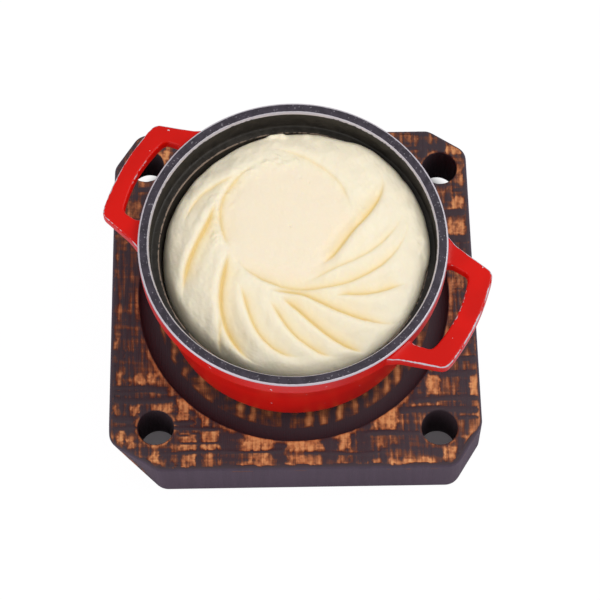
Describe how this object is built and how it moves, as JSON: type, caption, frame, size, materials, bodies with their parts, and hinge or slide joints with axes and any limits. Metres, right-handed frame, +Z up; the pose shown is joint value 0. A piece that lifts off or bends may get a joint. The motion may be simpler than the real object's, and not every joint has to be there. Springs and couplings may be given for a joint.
{
  "type": "mashed potato side",
  "caption": "Mashed potato with a spoon-swirled top in a small enamelled cast-iron cocotte with flat loop handles, set in the recess of a charred wooden serving board.",
  "frame": {"origin": "centre of the serving board's underside", "axes": "+X along the board's front edge, +Y from the diner's side to the back, +Z up; the handles' axis is turned 27 degrees clockwise from X"},
  "size_m": [0.1382, 0.136, 0.0703],
  "materials": {
    "potato": null,
    "red_enamel": "glossy red enamel outside, matte dark speckled enamel on the rim and inside, worn to bare metal along the edges",
    "charred_wood": "flame-charred and brushed softwood, dark bands over orange-brown wood"
  },
  "bodies": {
    "root": {"mashed_potato": "potato", "cocotte": "red_enamel", "serving_board": "charred_wood"}
  },
  "joints": []
}
